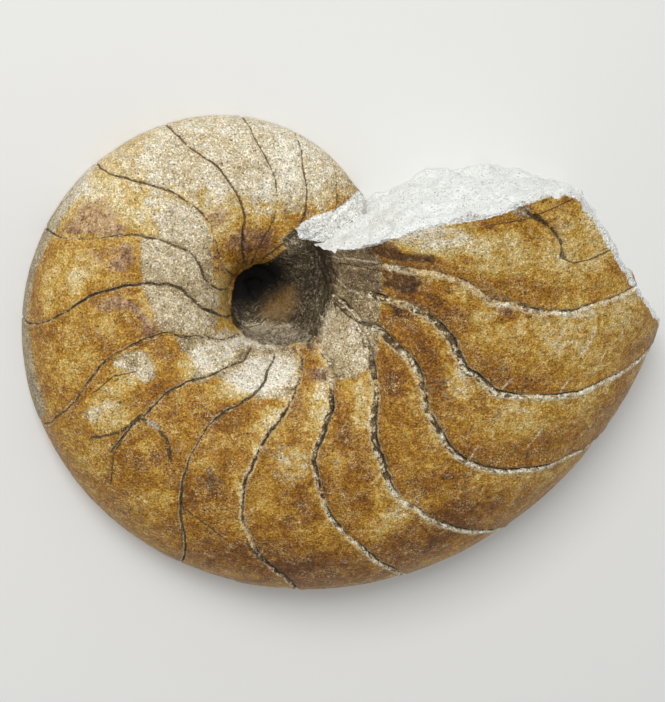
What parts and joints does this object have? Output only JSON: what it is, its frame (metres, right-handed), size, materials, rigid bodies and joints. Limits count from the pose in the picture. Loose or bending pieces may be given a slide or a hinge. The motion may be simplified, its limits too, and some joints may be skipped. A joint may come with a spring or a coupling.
{
  "type": "fossil nautilus half",
  "caption": "Half of a coiled fossil nautilus, an amber stone cast with wavy suture lines, sawn flat through the middle and lying on the cut.",
  "frame": {"origin": "the coil's axis where it meets the sawn face", "axes": "+Z along the coil's axis, up from the sawn face; +X towards the broken end, the longest way across; +Y makes it right-handed; the coil grows anticlockwise seen from +Z"},
  "size_m": [0.1533, 0.1155, 0.0454],
  "materials": {
    "fossil_stone": "satin stone, matte to the touch"
  },
  "bodies": {
    "root": {"nautilus_half": "fossil_stone"}
  },
  "joints": []
}
